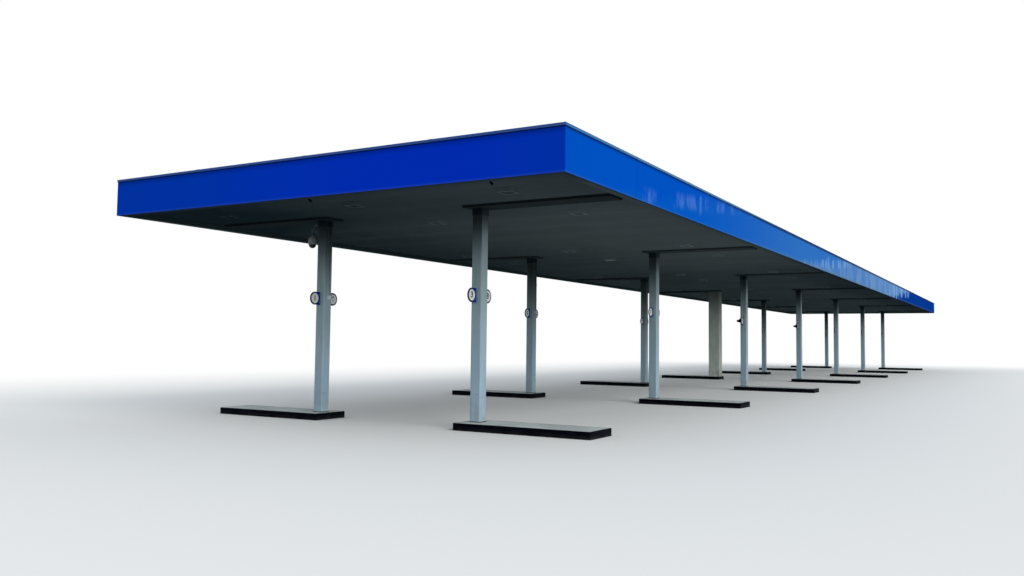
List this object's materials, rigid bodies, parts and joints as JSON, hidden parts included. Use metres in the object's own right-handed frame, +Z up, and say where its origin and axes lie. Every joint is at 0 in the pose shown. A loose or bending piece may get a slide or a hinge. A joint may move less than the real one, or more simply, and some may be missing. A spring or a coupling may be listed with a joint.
{
  "type": "filling station canopy, half-size scale model",
  "caption": "Flat canopy roof with a deep blue fascia on two rows of square columns, each in a raised island, for shelter over fuel lanes",
  "frame": {"origin": "on the ground, under the middle of the roof", "axes": "X runs along the long side, Y across it with the picture's long side at -Y, Z up"},
  "size_m": [33.01, 5.66, 2.68],
  "materials": {
    "form_steel": "black paint, scuffed and dusty",
    "concrete": "pale cast concrete, dusty",
    "column_paint": "light grey-blue paint, satin",
    "cladding": "beige-grey sheet, matt",
    "collar_paint": "black paint, satin",
    "frame_paint": "grey primer, matt",
    "cover_sheet": "grey coated sheet, dusty",
    "deck_sheet": "off-white coated sheet, satin",
    "galvanised": "galvanised steel, dull",
    "fascia_blue": "blue coated sheet, satin, faded in places",
    "coping_metal": "dark capping with a bright top edge",
    "lamp_body": "pale grey powder coat",
    "lamp_glass": "frosted glass, unlit",
    "sign_blue": "blue sheet, satin",
    "sign_white": "white field in a dark rim with a plain number",
    "bracket_paint": "dark paint",
    "camera_plastic": "light grey housing with a dark window",
    "dark_plastic": "black housing"
  },
  "bodies": {
    "root": {"front_island_forms": "form_steel", "rear_island_forms": "form_steel", "front_island_slabs": "concrete", "rear_island_slabs": "concrete", "front_columns": "column_paint", "rear_columns": "column_paint", "column_cladding": "cladding", "column_collars": "collar_paint", "column_caps": "frame_paint", "front_arms": "frame_paint", "rear_arms": "frame_paint", "arm_covers": "cover_sheet", "tie_beams": "frame_paint", "front_purlins": "frame_paint", "rear_purlins": "frame_paint", "end_channels": "frame_paint", "deck_left_end": "deck_sheet", "deck_bay_1": "deck_sheet", "deck_bay_2": "deck_sheet", "deck_bay_3": "deck_sheet", "deck_bay_4": "deck_sheet", "deck_bay_5": "deck_sheet", "deck_bay_6": "deck_sheet", "deck_right_end": "deck_sheet", "front_gutter": "galvanised", "rear_gutter": "galvanised", "front_fascia_frames": "galvanised", "rear_fascia_frames": "galvanised", "left_fascia_frames": "galvanised", "right_fascia_frames": "galvanised", "long_fascia_rails": "galvanised", "end_fascia_rails": "galvanised", "front_fascia": "fascia_blue", "rear_fascia": "fascia_blue", "left_fascia": "fascia_blue", "right_fascia": "fascia_blue", "front_coping": "coping_metal", "rear_coping": "coping_metal", "left_coping": "coping_metal", "right_coping": "coping_metal", "lamp_housings": "lamp_body", "lamp_glasses": "lamp_glass", "lamp_drivers": "galvanised", "sign_plates": "sign_blue", "sign_discs": "sign_white", "sign_brackets": "bracket_paint", "dome_camera": "camera_plastic", "turret_cameras": "camera_plastic", "end_cameras": "dark_plastic", "horn_speakers": "dark_plastic"}
  },
  "joints": []
}
